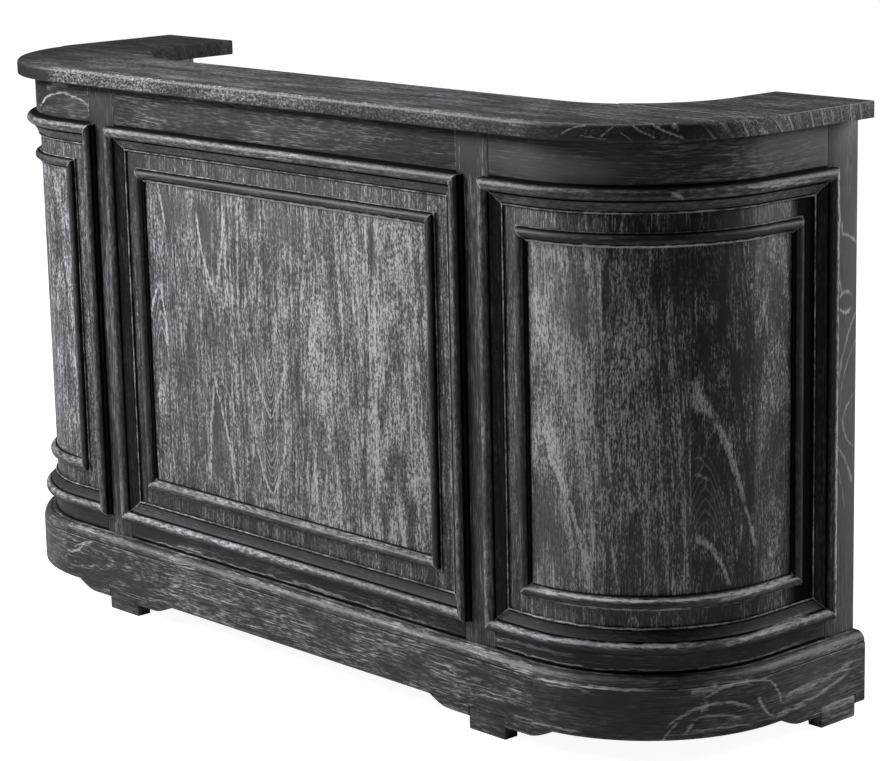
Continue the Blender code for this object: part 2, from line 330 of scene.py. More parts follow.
def add_node(tree, kind, links=(), output=0, **settings):
    """Adds one node with its settings, and with its values and links in order or by name. It
    returns the output to link on, or all of them where output is None."""
    node = tree.nodes.new("ShaderNode" + kind)
    for name, value in settings.items():
        setattr(node, name, value)
    for name, value in links.items() if isinstance(links, dict) else enumerate(links):
        if isinstance(value, bpy.types.NodeSocket):
            tree.links.new(value, node.inputs[name])
        else:
            node.inputs[name].default_value = value
    if output is None or not node.outputs:
        return node.outputs
    return node.outputs[output]


def start_material(name):
    """A new material with no nodes in it yet."""
    material = bpy.data.materials.new(name)
    material.use_nodes = True
    material.node_tree.nodes.clear()
    return material


def limed_ash(name, across_mm, along_mm, outside=1.0, field=None, mitres=False, end_grain=False,
              patches=(), cathedrals=(), strokes=()):
    """Open-grained ash, stained black, brushed and limed: the pores and the soft early wood hold
    white in streaks along the grain, and a thin grey haze is left where it was wiped off.
    across_mm and along_mm are how far apart the pores lie, and outside is how much of the lime
    there is beyond the field, a rectangle (s, s, z, z). In the lists, places and sizes are in mm:
    patches (s, z, half width, half height, change, veil) hold more or less lime than the wood
    round them, under an even grey veil, cathedrals (s, z, half width, height, rings, strength) are
    nested arches of the annual rings, and each of the strokes (s, z, s, z, bow, half width,
    strength) is one wide streak of white."""
    material = start_material(name)
    add = partial(add_node, material.node_tree)

    along, across, depth = add("SeparateXYZ", [
        add("Attribute", output=1, attribute_name="grain"),
    ], output=None)
    s, out, z = add("SeparateXYZ", [
        add("Attribute", output=1, attribute_name="place"),
    ], output=None)
    haze, flecks, shift = add("SeparateXYZ", [
        add("Attribute", output=1, attribute_name="finish"),
    ], output=None)
    rubbed = add("Attribute", output=2, attribute_name="lime")

    # The rings stand round the heart of the tree, which wanders 12 mm to and fro.
    bend = add("TexNoise", {
        "Vector": add("CombineXYZ", (
            add("Math", (along, 3.0), operation="MULTIPLY"),
            add("Math", (across, 8.0), operation="MULTIPLY"),
            shift,
        )),
        "Scale": 1.0, "Detail": 2.0, "Roughness": 0.5,
    })
    over = add("Math", (
        across, add("Math", (bend, 0.024, -0.012), operation="MULTIPLY_ADD"),
    ), operation="ADD")
    squared = add("Math", (
        add("Math", (over, over), operation="MULTIPLY"),
        add("Math", (depth, depth), operation="MULTIPLY"),
    ), operation="ADD")
    ring = add("Math", (squared,), operation="SQRT")
    ripple = add("TexNoise", {
        "Vector": add("CombineXYZ", (
            add("Math", (along, 40.0), operation="MULTIPLY"),
            add("Math", (across, 60.0), operation="MULTIPLY"),
            shift,
        )),
        "Scale": 1.0, "Detail": 1.0, "Roughness": 0.5,
    })
    ring = add("Math", (ripple, 0.003, ring), operation="MULTIPLY_ADD")

    # Pores 2.5 to 5 mm apart across the grain and 7 to 24 mm along it. The real ones are 0.3 mm
    # wide and 3 to 10 mm long, too fine to show at this size. The early wood stands in bands of
    # 4 to 9 mm, with a bright line at a band's edge.
    thick = add("Math", (depth, 250.0), operation="MULTIPLY")
    sideways = add("Math", (over, 1000 / across_mm), operation="MULTIPLY")
    pores = add("TexNoise", {
        "Vector": add("CombineXYZ", (
            add("Math", (along, 1000 / along_mm), operation="MULTIPLY"), sideways, thick,
        )),
        "Scale": 1.0, "Detail": 4.0, "Roughness": 0.68,
    })
    streaks = add("TexNoise", {
        "Vector": add("CombineXYZ", (
            add("Math", (along, 120 / along_mm), operation="MULTIPLY"), sideways, thick,
        )),
        "Scale": 1.0, "Detail": 2.0, "Roughness": 0.55,
    })
    belts = add("TexNoise", {
        "Vector": add("CombineXYZ", (
            add("Math", (ring, 150.0), operation="MULTIPLY"),
            add("Math", (along, 2.0), operation="MULTIPLY"),
            shift,
        )),
        "Scale": 1.0, "Detail": 2.0, "Roughness": 0.55,
    })
    bands = add("MapRange", (belts, 0.38, 0.6), interpolation_type="SMOOTHSTEP")
    edge = add("MapRange", (
        add("Math", (add("Math", (belts, 0.5), operation="SUBTRACT"),), operation="ABSOLUTE"),
        0.022, 0.004,
    ), interpolation_type="SMOOTHSTEP")
    clouds = add("TexNoise", {
        "Vector": add("CombineXYZ", (
            add("Math", (along, 9.0), operation="MULTIPLY"),
            add("Math", (across, 22.0), operation="MULTIPLY"),
            shift,
        )),
        "Scale": 1.0, "Detail": 3.0, "Roughness": 0.6,
    })
    clouds = add("MapRange", (clouds, 0.32, 0.64), interpolation_type="SMOOTHSTEP")
    # Rubbed lime breaks up into dabs 5 mm wide, 14 mm long or, along the top's edge, 6 mm.
    dabs, bare = (170.0, 0.45) if end_grain else (70.0, 0.38)
    broken = add("TexNoise", {
        "Vector": add("CombineXYZ", (
            add("Math", (along, dabs), operation="MULTIPLY"),
            add("Math", (across, 220.0), operation="MULTIPLY"),
            thick,
        )),
        "Scale": 1.0, "Detail": 3.0, "Roughness": 0.7,
    })
    broken = add("Math", (
        add("MapRange", (broken, bare, 0.62), interpolation_type="SMOOTHSTEP"),
        add("Math", (
            add("MapRange", (pores, 0.4, 0.56), interpolation_type="SMOOTHSTEP"), 0.6, 0.4,
        ), operation="MULTIPLY_ADD"),
    ), operation="MULTIPLY")

    mixed = add("Math", (
        streaks, 0.34, add("Math", (pores, 0.66), operation="MULTIPLY"),
    ), operation="MULTIPLY_ADD")
    mixed = add("Math", (
        add("Math", (bands, 0.5), operation="SUBTRACT"), 0.06, mixed,
    ), operation="MULTIPLY_ADD")
    flecked = add("MapRange", (mixed, 0.49, 0.7), interpolation_type="SMOOTHSTEP")
    thin = add("MapRange", (
        add("Math", (
            streaks, 0.8, add("Math", (pores, 0.2), operation="MULTIPLY"),
        ), operation="MULTIPLY_ADD"),
        0.6, 0.68,
    ), interpolation_type="SMOOTHSTEP")
    held = add("Math", (bands, 0.5, 0.5), operation="MULTIPLY_ADD")
    spread = add("Math", (clouds, add("Math", (haze, 1.2), operation="MULTIPLY")), operation="ADD")
    bright = add("Math", (
        edge,
        add("Math", (
            add("MapRange", (pores, 0.4, 0.58), interpolation_type="SMOOTHSTEP"), clouds,
        ), operation="MULTIPLY"),
    ), operation="MULTIPLY")
    bright = add("Math", (
        add("Math", (thin, spread), operation="MULTIPLY"), 1.4, bright,
    ), operation="MULTIPLY_ADD")
    bright = add("Math", (
        bright, add("Math", (flecks, 0.5), operation="MULTIPLY"),
    ), operation="MULTIPLY")
    amount = add("Math", (
        add("Math", (flecked, held), operation="MULTIPLY"),
        add("Math", (spread, flecks), operation="MULTIPLY"),
    ), operation="MULTIPLY")
    amount = add("Math", (amount, 1.35), operation="MULTIPLY")
    wiped = add("Math", (
        add("MapRange", (mixed, 0.38, 0.66), interpolation_type="SMOOTHSTEP"), 1.95, 0.1,
    ), operation="MULTIPLY_ADD")
    veil = add("Math", (
        haze,
        add("Math", (
            wiped, add("Math", (clouds, 0.6, 0.6), operation="MULTIPLY_ADD"),
        ), operation="MULTIPLY"),
    ), operation="MULTIPLY")
    if field:
        plain = add("Math", (veil, 0.35), operation="MULTIPLY")
        left, right, low, high = field
        beside = add("Math", (
            add("Math", (s, (left + right) / 2), operation="SUBTRACT"),
        ), operation="ABSOLUTE")
        beyond = add("Math", (
            add("Math", (z, (low + high) / 2), operation="SUBTRACT"),
        ), operation="ABSOLUTE")
        inside = add("Math", (
            add("MapRange", (
                beside, (right - left) / 2 + 0.002, (right - left) / 2,
            ), interpolation_type="SMOOTHSTEP"),
            add("MapRange", (
                beyond, (high - low) / 2 + 0.002, (high - low) / 2,
            ), interpolation_type="SMOOTHSTEP"),
        ), operation="MULTIPLY")
        share = add("Math", (inside, 1.0 - outside, outside), operation="MULTIPLY_ADD")
        veil = add("Math", (veil, share), operation="MULTIPLY")
        amount = add("Math", (amount, share), operation="MULTIPLY")
    amount = add("Math", (add("Math", (amount, bright), operation="ADD"), veil), operation="ADD")
    # Lime rubbed onto arrises and left out of the quirks, as noted along each profile. On the right
    # end's bead the high values are a painted highlight.
    caught = add("Math", (
        add("Math", (rubbed, 0.0), operation="MAXIMUM"),
        add("Math", (broken, 0.02), operation="ADD"),
    ), operation="MULTIPLY")
    caught = add("Math", (
        caught, add("Math", (clouds, 0.75, 0.55), operation="MULTIPLY_ADD"),
    ), operation="MULTIPLY")
    amount = add("Math", (amount, caught), operation="ADD")
    for *sizes, change, even in patches:
        at_s, at_z, wide, high = (mm / 1000 for mm in sizes)
        right = add("Math", (
            add("Math", (s, at_s), operation="SUBTRACT"), wide,
        ), operation="DIVIDE")
        up = add("Math", (add("Math", (z, at_z), operation="SUBTRACT"), high), operation="DIVIDE")
        far = add("Math", (
            add("Math", (right, right), operation="MULTIPLY"),
            add("Math", (up, up), operation="MULTIPLY"),
        ), operation="ADD")
        far = add("Math", (clouds, 0.5, far), operation="MULTIPLY_ADD")
        near = add("Math", (
            add("Math", (
                add("Math", (far, far), operation="MULTIPLY"), -1.0,
            ), operation="MULTIPLY"),
        ), operation="EXPONENT")
        amount = add("Math", (
            amount, add("Math", (near, change, 1.0), operation="MULTIPLY_ADD"),
        ), operation="MULTIPLY")
        amount = add("Math", (near, even, amount), operation="MULTIPLY_ADD")
    for *sizes, rings, strength in cathedrals:
        at_s, at_z, wide, high = (mm / 1000 for mm in sizes)
        right = add("Math", (
            add("Math", (s, at_s), operation="SUBTRACT"), wide,
        ), operation="DIVIDE")
        up = add("Math", (add("Math", (z, at_z), operation="SUBTRACT"), high), operation="DIVIDE")
        bowl = add("Math", (add("Math", (right,), operation="ABSOLUTE"), 1.7), operation="POWER")
        rise = add("Math", (
            add("Math", (ripple, 0.1, up), operation="MULTIPLY_ADD"), bowl,
        ), operation="SUBTRACT")
        wave = add("Math", (
            add("Math", (rise, 2 * math.pi * rings), operation="MULTIPLY"),
        ), operation="COSINE")
        line = add("Math", (
            add("MapRange", (wave, 0.3, 0.95), interpolation_type="SMOOTHSTEP"),
            add("MapRange", (pores, 0.25, 0.48), interpolation_type="SMOOTHSTEP"),
        ), operation="MULTIPLY")
        mask = add("Math", (
            add("MapRange", (rise, -0.06, 0.06), interpolation_type="SMOOTHSTEP"),
            add("MapRange", (rise, 1.15, 0.75), interpolation_type="SMOOTHSTEP"),
        ), operation="MULTIPLY")
        mask = add("Math", (
            mask, add("MapRange", (up, 1.25, 0.8), interpolation_type="SMOOTHSTEP"),
        ), operation="MULTIPLY")
        amount = add("Math", (
            amount, add("Math", (mask, -0.35, 1.0), operation="MULTIPLY_ADD"),
        ), operation="MULTIPLY")
        amount = add("Math", (
            add("Math", (line, mask), operation="MULTIPLY"), strength, amount,
        ), operation="MULTIPLY_ADD")

    # Below 0 the lime value removes lime and darkens the stain: painted shade in quirks and
    # corners.
    black = add("Math", (rubbed, -1.0), operation="MULTIPLY", use_clamp=True)
    amount = add("Math", (
        amount, add("Math", (1.0, black), operation="SUBTRACT"),
    ), operation="MULTIPLY")
    if mitres:
        # White in the mitre joints, where the way in from both edges of a frame is the same.
        centre = add("Math", (
            add("Math", (s,), operation="ABSOLUTE"), POST_INNER + 0.04,
        ), operation="LESS_THAN")
        side = add("Math", (
            add("Math", (s,), operation="ABSOLUTE"), (BAYS["right"][0] + BAYS["right"][1]) / 2,
        ), operation="SUBTRACT")
        side = add("Math", (
            (BAYS["right"][1] - BAYS["right"][0]) / 2, add("Math", (side,), operation="ABSOLUTE"),
        ), operation="SUBTRACT")
        own = add("Math", (
            BAYS["centre"][1], add("Math", (s,), operation="ABSOLUTE"),
        ), operation="SUBTRACT")
        side = add("Math", (
            side, add("Math", (1.0, centre), operation="SUBTRACT"),
        ), operation="MULTIPLY")
        inward = add("Math", (
            add("Math", (own, centre), operation="MULTIPLY"), side,
        ), operation="ADD")
        height = add("Math", (
            add("Math", (z, (FRAME_TOP + FRAME_BOTTOM) / 2), operation="SUBTRACT"),
        ), operation="ABSOLUTE")
        height = add("Math", ((FRAME_TOP - FRAME_BOTTOM) / 2, height), operation="SUBTRACT")
        apart = add("Math", (
            add("Math", (inward, height), operation="SUBTRACT"),
        ), operation="ABSOLUTE")
        seam = add("MapRange", (
            add("Math", (broken, -0.002, apart), operation="MULTIPLY_ADD"), 0.0012, -0.0004,
        ), interpolation_type="SMOOTHSTEP")
        amount = add("Math", (seam, 0.6, amount), operation="MULTIPLY_ADD")
    if end_grain:
        # The top's edge shows the rings as lines round the corners and along the wings.
        ends = add("MapRange", (
            add("Math", (s,), operation="ABSOLUTE"), 0.87, 0.92,
        ), interpolation_type="SMOOTHSTEP")
        ends = add("Math", (
            ends,
            add("MapRange", (z, HEIGHT - 0.001, HEIGHT - 0.006), interpolation_type="SMOOTHSTEP"),
        ), operation="MULTIPLY")
        uneven = add("Math", (
            belts, 0.4, add("Math", (ring, 42.0), operation="MULTIPLY"),
        ), operation="MULTIPLY_ADD")
        wave = add("Math", (
            add("Math", (uneven, 2 * math.pi), operation="MULTIPLY"),
        ), operation="COSINE")
        line = add("Math", (
            add("MapRange", (wave, 0.8, 0.99), interpolation_type="SMOOTHSTEP"), ends,
        ), operation="MULTIPLY")
        amount = add("Math", (
            add("Math", (line, clouds), operation="MULTIPLY"), 0.6, amount,
        ), operation="MULTIPLY_ADD")
    ragged = add("Math", (
        add("MapRange", (pores, 0.36, 0.55), interpolation_type="SMOOTHSTEP"), 0.85, 0.35,
    ), operation="MULTIPLY_ADD")
    for *sizes, strength in strokes:
        from_s, from_z, to_s, to_z, bow, half = (mm / 1000 for mm in sizes)
        lengthwise = abs(to_z - from_z) >= abs(to_s - from_s)
        run, side = (z, s) if lengthwise else (s, z)
        first, last = (from_z, to_z) if lengthwise else (from_s, to_s)
        begin, stop = (from_s, to_s) if lengthwise else (from_z, to_z)
        part = add("Math", (
            add("Math", (run, first), operation="SUBTRACT"), last - first,
        ), operation="DIVIDE")
        arch = add("Math", (
            add("Math", (
                part, add("Math", (1.0, part), operation="SUBTRACT"),
            ), operation="MULTIPLY"),
            4 * bow,
        ), operation="MULTIPLY")
        middle = add("Math", (
            add("Math", (part, stop - begin, begin), operation="MULTIPLY_ADD"), arch,
        ), operation="ADD")
        middle = add("Math", (
            add("Math", (ripple, 0.5), operation="SUBTRACT"), 0.006, middle,
        ), operation="MULTIPLY_ADD")
        off = add("Math", (
            add("Math", (side, middle), operation="SUBTRACT"),
        ), operation="ABSOLUTE")
        soft = add("Math", (
            add("Math", (pores, 0.5), operation="SUBTRACT"), -4.0 * half, off,
        ), operation="MULTIPLY_ADD")
        inside = add("MapRange", (soft, 1.5 * half, half * 0.3), interpolation_type="SMOOTHSTEP")
        ends = add("Math", (
            add("MapRange", (part, -0.03, 0.08), interpolation_type="SMOOTHSTEP"),
            add("MapRange", (part, 1.03, 0.85), interpolation_type="SMOOTHSTEP"),
        ), operation="MULTIPLY")
        inside = add("Math", (
            add("Math", (inside, ends), operation="MULTIPLY"), ragged,
        ), operation="MULTIPLY")
        amount = add("Math", (inside, strength, amount), operation="MULTIPLY_ADD")
    if field:
        # Only the face of a panel is limed; its back was left plain.
        face = add("MapRange", (
            out, -PANEL_SETBACK - 0.008, -PANEL_SETBACK - 0.004,
        ), interpolation_type="SMOOTHSTEP")
        amount = add("Math", (
            add("Math", (amount, plain), operation="SUBTRACT"), face, plain,
        ), operation="MULTIPLY_ADD")
    amount = add("Math", (amount, 0.95), operation="MINIMUM")

    # The stain, darker where that painted shade lies.
    dyed = add("Mix", {
        0: black, 6: hex_colour("#1a1b1e"), 7: hex_colour("#050506"),
    }, output=2, data_type="RGBA")
    colour = add("Mix", {0: amount, 6: dyed, 7: hex_colour("#c1c4c8")}, output=2, data_type="RGBA")
    rough = add("Math", (
        add("Math", (amount, 0.35, 0.46), operation="MULTIPLY_ADD"),
        add("Math", (black, 0.35), operation="MULTIPLY"),
    ), operation="ADD")
    sheen = add("Math", (black, -0.4, 0.5), operation="MULTIPLY_ADD")
    bump = add("Bump", {
        "Strength": 0.4, "Distance": 0.0004,
        "Height": add("Math", (flecked, held), operation="MULTIPLY"),
    }, invert=True)
    shader = add("BsdfPrincipled", {
        "Base Color": colour, "Roughness": rough, "Specular IOR Level": sheen, "Normal": bump,
        "IOR": 1.5,
    })
    add("OutputMaterial", {"Surface": shader})
    return material


def plain_dark_wood(name):
    """The staff side: planed softwood, dyed dark and left unlimed, with faint grain in it."""
    material = start_material(name)
    add = partial(add_node, material.node_tree)
    place = add("TexCoord", output=3)
    # Grain lines 6 mm apart and 0.3 m long. The real ones are 2 mm apart, too fine to show.
    stretched = add("Mapping", {"Vector": place, "Scale": (3.0, 160.0, 160.0)})
    streaks = add("TexNoise", {"Vector": stretched, "Scale": 1.0, "Detail": 4.0})
    colour = add("Mix", {
        0: streaks, 6: hex_colour("#262627"), 7: hex_colour("#626064"),
    }, output=2, data_type="RGBA")
    bump = add("Bump", {"Strength": 0.3, "Distance": 0.0003, "Height": streaks})
    shader = add("BsdfPrincipled", {"Base Color": colour, "Roughness": 0.62, "Normal": bump})
    add("OutputMaterial", {"Surface": shader})
    return material


def panel_field(bay):
    """The part of a panel inside its inner mouldings, as (s, s, z, z)."""
    inset = INNER_MOULDING_START + INNER_MOULDING_WIDTH
    left, right = BAYS[bay][:2]
    return left + inset, right - inset, FRAME_BOTTOM + inset, FRAME_TOP - inset


# Posts and rails; the strokes are the knots and curls on the right rear post, the arch on the left
# frieze rail and the thin line of lime along the foot of the lower rails
ash = limed_ash(
    "black_limed_ash", 2.7, 24,
    patches=[
        # The first two patches are painted sheen: an even grey veil along the right frieze rail,
        # where a soft box is reflected in the satin finish.
        (680, 985, 160, 70, -0.5, 0.085), (880, 985, 150, 60, 1.0, 0.05),
        (1080, 985, 100, 60, -0.3, 0.02), (1190, 985, 70, 70, -0.8, 0.13),
        (1262, 600, 70, 700, -0.85, 0.17), (-600, 985, 30, 60, -0.3, 0.03),
        (508, 990, 50, 50, -0.9, 0.045), (-508, 990, 50, 50, -0.9, 0.045),
    ],
    strokes=[
        (1233, 885, 1247, 830, 1, 2.6, 0.6), (1245, 830, 1286, 812, 2, 3, 0.5),
        (1234, 762, 1248, 728, 1, 2.2, 0.45), (1240, 722, 1274, 722, 10, 3, 0.55),
        (1242, 706, 1274, 706, -10, 2.8, 0.75), (1285, 696, 1240, 580, -7, 2.2, 0.4),
        (1285, 650, 1246, 560, -6, 1.8, 0.32), (1285, 560, 1285, 460, -32, 2.2, 0.4),
        (1232, 480, 1276, 400, 8, 2.2, 0.4), (1232, 450, 1260, 360, 4, 1.6, 0.28),
        (-735, 958, -548, 977, 26, 2, 0.7), (-690, 999, -610, 1008, 6, 4, 0.4),
        (-450, 151.5, 460, 151.5, 0, 1, 0.5), (535, 151.5, 1200, 151.5, 0, 1, 0.5),
        (540, 162, 720, 166, 4, 3, 0.35), (-330, 156, -250, 156, 0, 1.6, 0.4),
        (469.5, 949, 469.5, 1016, 0, 0.8, 0.55), (478, 948, 480, 990, 0, 0.8, 0.4),
        (-547, 949, -547, 1016, 0, 1, 0.5), (-469.5, 960, -469.5, 1016, 0, 0.6, 0.3),
        (10, 156, 160, 154, 0, 1.8, 0.5),
    ],
)
ash_centre = limed_ash(
    "black_limed_ash_centre_panel", 3.7, 7.0, 0.36, panel_field("centre"),
    patches=[
        (-197, 775, 30, 95, -0.85, 0.08), (-172, 570, 26, 70, -0.6, 0.06),
        (-190, 390, 30, 90, -0.65, 0.06), (-290, 800, 75, 45, -0.5, 0.06),
        (20, 815, 90, 38, -0.6, 0.08), (248, 800, 7, 70, -1.0, 0.05), (245, 560, 8, 140, 0.8, 0.0),
        (60, 640, 110, 130, 0.25, 0.0), (-270, 450, 50, 80, -0.2, 0.0),
        (350, 350, 60, 80, -0.25, 0.0), (-43, 370, 36, 60, -0.35, 0.03),
        (-41, 500, 34, 55, -0.3, 0.03), (120, 420, 40, 90, -0.2, 0.0),
        (340, 600, 35, 120, -0.2, 0.0),
    ],
    cathedrals=[
        (-41, 440, 40, 150, 10.0, 0.42), (-43, 300, 42, 125, 8.0, 0.42),
        (-355, 655, 30, -115, 4.0, 0.4),
    ],
    strokes=[
        (-236, 805, -189, 657, -10, 2.8, 0.75), (-158, 830, -189, 657, 8, 2.6, 0.7),
        (-220, 730, -184, 597, -6, 1.8, 0.4), (-150, 690, -184, 597, 6, 1.8, 0.35),
        (-385, 590, -355, 658, -6, 3, 0.7), (-340, 540, -355, 658, 4, 2.6, 0.6),
        (-222, 300, -201, 492, -6, 2.8, 0.65), (-152, 310, -201, 492, 8, 2.8, 0.65),
        (-230, 470, -226, 290, 0, 1.8, 0.35), (-203, 510, -195, 480, 0, 5, 0.4),
        (-86, 430, -43, 300, -10, 2.6, 0.7), (0, 420, -43, 300, 8, 2.6, 0.7),
        (-82, 560, -40, 446, -8, 2.6, 0.65), (4, 560, -40, 446, 8, 2.6, 0.65),
        (-114, 848, -126, 600, 0, 2.6, 0.42), (-350, 850, -330, 760, 0, 2.6, 0.55),
        (86, 806, 80, 560, 0, 2.6, 0.3), (233, 850, 240, 420, 0, 2.6, 0.5),
        (264, 851, 259, 600, 0, 2.2, 0.45), (252, 700, 246, 360, 0, 2.4, 0.55),
        (85, 420, 60, 276, 0, 2.6, 0.42), (-330, 700, -345, 420, 0, 1.6, 0.3),
        (330, 700, 325, 330, 0, 1.6, 0.28), (-62, 292, -22, 290, 0, 5, 0.5),
    ],
)
ash_right = limed_ash(
    "black_limed_ash_right_panel", 2.6, 8, 0.3, panel_field("right"),
    patches=[
        (700, 580, 55, 110, 0.6, 0.02), (705, 750, 55, 80, -0.8, 0.12),
        (680, 340, 75, 130, -0.75, 0.09), (880, 800, 120, 50, -0.6, 0.01),
        (680, 820, 70, 50, -0.45, 0.06), (960, 590, 22, 50, -0.6, 0.0),
        (950, 420, 35, 50, -0.6, 0.0),
    ],
    cathedrals=[
        (940, 500, 45, -130, 7.0, 0.16),
    ],
    strokes=[
        (662, 548, 705, 437, -4, 7, 0.6), (705, 437, 745, 281, 3, 3.4, 0.5),
        (921, 630, 958, 562, -3, 8, 0.5), (958, 562, 1017, 413, 4, 5, 0.55),
        (1017, 413, 1042, 335, 0, 3.4, 0.5), (921, 610, 930, 575, 0, 10, 0.5),
        (921, 366, 968, 325, 10, 7.5, 0.55), (963, 335, 985, 280, 2, 3.6, 0.45),
        (765, 800, 785, 430, 0, 1.8, 0.38), (785, 360, 792, 285, 0, 1.8, 0.4),
        (921, 474.5, 948, 460, 4, 2.6, 0.3), (925, 780, 925, 700, 0, 1.4, 0.35),
        (921, 500, 940, 490, 6, 2, 0.25),
    ],
)
ash_left = limed_ash("black_limed_ash_left_panel", 5.0, 7, 0.45, panel_field("left"))
ash_moulding = limed_ash(
    "black_limed_ash_moulding", 3.0, 14, mitres=True,
    patches=[
        (0, 195, 160, 30, 0.3, 0.0), (-300, 195, 120, 30, 0.2, 0.0),
        (250, 205, 200, 40, -0.45, 0.0), (780, 895, 280, 80, -0.45, 0.0),
        (-950, 920, 350, 80, -0.5, 0.0), (-950, 200, 350, 60, -0.3, 0.0),
        (850, 210, 300, 60, -0.55, 0.0), (1150, 560, 60, 280, -0.4, 0.0),
    ],
    strokes=[
        (640, 848, 1100, 848, 0, 1.8, 1.0), (640, 270, 1060, 270, 0, 1.6, 0.85),
        (640, 254.5, 920, 253.5, 0, 2.4, 0.75), (960, 262, 1120, 268, 3, 2, 0.6),
        (740, 901, 820, 901, 0, 2.4, 0.95), (880, 901.2, 960, 902, 0, 2, 0.5),
        (620, 221.5, 980, 221.5, 0, 1.2, 0.6), (880, 934, 900, 924, 4, 3, 0.7),
        (640, 196, 920, 198, 0, 2.2, 0.35), (960, 190, 1160, 200, 4, 2.4, 0.45),
        (1000, 936, 1160, 930, 0, 1.8, 0.5), (20, 848, 385, 848, 0, 2.6, 1.0),
        (-380, 848, 50, 848, 0, 1.8, 0.7),
    ],
)
ash_top = limed_ash(
    "black_limed_ash_top", 3.0, 14, end_grain=True,
    patches=[
        (-900, 1040, 300, 60, -0.65, 0.0), (800, 1040, 100, 100, -0.2, 0.0),
    ],
    strokes=[
        (830, 1044.5, 857.1, 1024, 0, 1.6, 0.6), (853, 1044.5, 885.3, 1022.6, 0, 1.8, 0.7),
        (872, 1044, 880, 1037, 0, 3.4, 0.5), (813.3, 1036.9, 830.3, 1022.9, 0, 1.2, 0.45),
        (806, 1044.5, 789.6, 1025.7, 0, 1.4, 0.4), (768.5, 1043.9, 729.4, 1029.9, 4, 1.4, 0.35),
        (760, 1030, 800, 1023, 0, 1.2, 0.3),
    ],
)
ash_plinth = limed_ash(
    "black_limed_ash_plinth", 2.5, 20,
    patches=[
        (790, 90, 90, 60, -0.8, 0.0), (-230, 85, 110, 30, 0.6, 0.0), (400, 80, 200, 40, 0.1, 0.0),
        (1200, 80, 130, 80, 0.6, 0.08),
    ],
    strokes=[
        (925, 108, 1010, 118, 10, 2.4, 0.55), (905, 118, 950, 126, 0, 5, 0.5),
        (870, 65, 1010, 76, 26, 2.6, 0.6), (862, 40, 885, 72, 0, 2, 0.55),
        (905, 72, 990, 64, 8, 2.2, 0.45), (895, 48, 908, 68, 0, 3, 0.6),
        (945, 122, 1050, 115, 7, 2.2, 0.5), (1040, 118, 1068, 70, 8, 2.4, 0.5),
        (1020, 95, 1050, 52, -6, 2.4, 0.5), (1050, 52, 1250, 86, -8, 3.6, 0.42),
        (1070, 82, 1270, 102, -6, 4.4, 0.36), (660, 126.5, 850, 126.5, 0, 1.8, 0.75),
        (665, 121, 760, 121, 0, 1.4, 0.45), (920, 90, 935, 98, 0, 7, 0.45),
        (890, 50, 1010, 50, 4, 1.8, 0.35), (650, 50, 740, 47, 0, 1.8, 0.4),
        (-655, 90, -590, 120, -10, 2.4, 0.55), (-630, 100, -560, 124, 4, 2.2, 0.5),
    ],
)
inside_wood = plain_dark_wood("dark_dyed_softwood")


# The top: three boards, sawn to the U shape and rounded over at the edges

def arc(cx, cy, radius, first, last, steps):
    turns = [first + (last - first) * i / steps for i in range(steps + 1)]
    return [(cx + radius * math.cos(t), cy + radius * math.sin(t)) for t in turns]


def round_over(piece, low, high, joints):
    """Rounds the edges of a top board, except along the joints, where it meets its neighbour."""
    for edge_z, width, steps in ((high, 0.011, 6), (low, 0.003, 3)):
        edit(piece, lambda co: abs(co.z - edge_z) < 1e-5)
        bpy.ops.mesh.select_mode(type="EDGE")
        close(piece)
        spots = piece.data.vertices
        for edge in piece.data.edges:
            a, b = (spots[i].co for i in edge.vertices)
            level = abs(a.z - edge_z) < 1e-5 and abs(b.z - edge_z) < 1e-5
            edge.select = level and not joints(a, b)
        bpy.ops.object.mode_set(mode="EDIT")
        bpy.ops.mesh.bevel(
            offset=width, segments=steps, profile=0.5, affect="EDGES", clamp_overlap=True
        )
        close(piece)


def whiten_edge(piece):
    """The front edge of the top has been rubbed white, less so at the left and along its foot, and
    not at all where it turns the corners."""
    for value, vertex in zip(piece.data.attributes["lime"].data, piece.data.vertices):
        x, y, z = vertex.co
        if z < HEIGHT - 0.0008 and y < FRONT_Y:
            strength = 0.80 if x > -0.4 else 0.60
            if z < HEIGHT - TOP_THICKNESS + 0.002:
                strength *= 0.3
            past_end = max(0.0, abs(x) - TOP_WHITE_EDGE_END)
            value.value = strength * max(0.0, 1 - past_end / 0.12)


